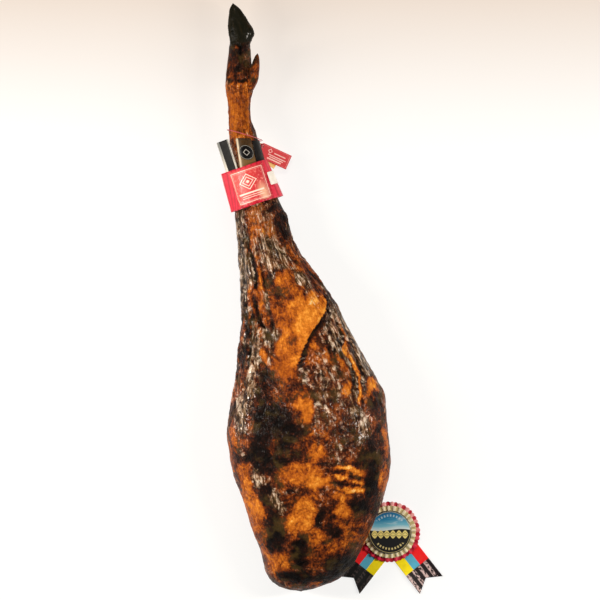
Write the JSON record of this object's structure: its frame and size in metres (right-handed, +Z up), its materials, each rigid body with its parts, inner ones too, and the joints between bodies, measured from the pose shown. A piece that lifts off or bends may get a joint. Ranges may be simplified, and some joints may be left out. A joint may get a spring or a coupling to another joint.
{
  "type": "cured ham",
  "caption": "Whole bone-in cured ham with its trotter, lying on its inner side, with a card band, labels and swing tag round the shank and an award rosette beside the butt.",
  "frame": {"origin": "middle of the bottom of the bounding box, on the surface that the ham lies on", "axes": "+Y from the butt towards the trotter, +Z up through the skin side"},
  "size_m": [0.3274, 0.8536, 0.1326],
  "materials": {
    "cured_rind": "mottled amber and brown-black, oily gloss",
    "red_card": "satin card",
    "label_card": "glossy card with a pale border",
    "white_card": "matt paper",
    "black_card": "satin black card",
    "amber_film": "glossy film with a black disc",
    "gold_card": "matt yellow card",
    "red_string": "twisted string",
    "striped_ribbon": "satin ribbon in three stripes with a dark end",
    "red_ribbon": "pleated satin",
    "cream_ribbon": "pleated satin",
    "button_card": "glossy printed card, blue over black"
  },
  "bodies": {
    "root": {"ham": "cured_rind", "neck_band": "red_card", "front_label": "label_card", "side_sticker": "white_card", "collar": "black_card", "film_label": "amber_film", "leaflet_cover": "black_card", "leaflet_pages": "white_card", "leaflet_back": "white_card", "tag_string": "red_string", "hang_tag": "red_card", "hang_tag_back": "gold_card", "rosette_tail_left": "striped_ribbon", "rosette_tail_right": "striped_ribbon", "rosette_backing": "white_card", "rosette_outer_ruffle": "red_ribbon", "rosette_inner_ruffle": "cream_ribbon", "rosette_button": "button_card"}
  },
  "joints": []
}
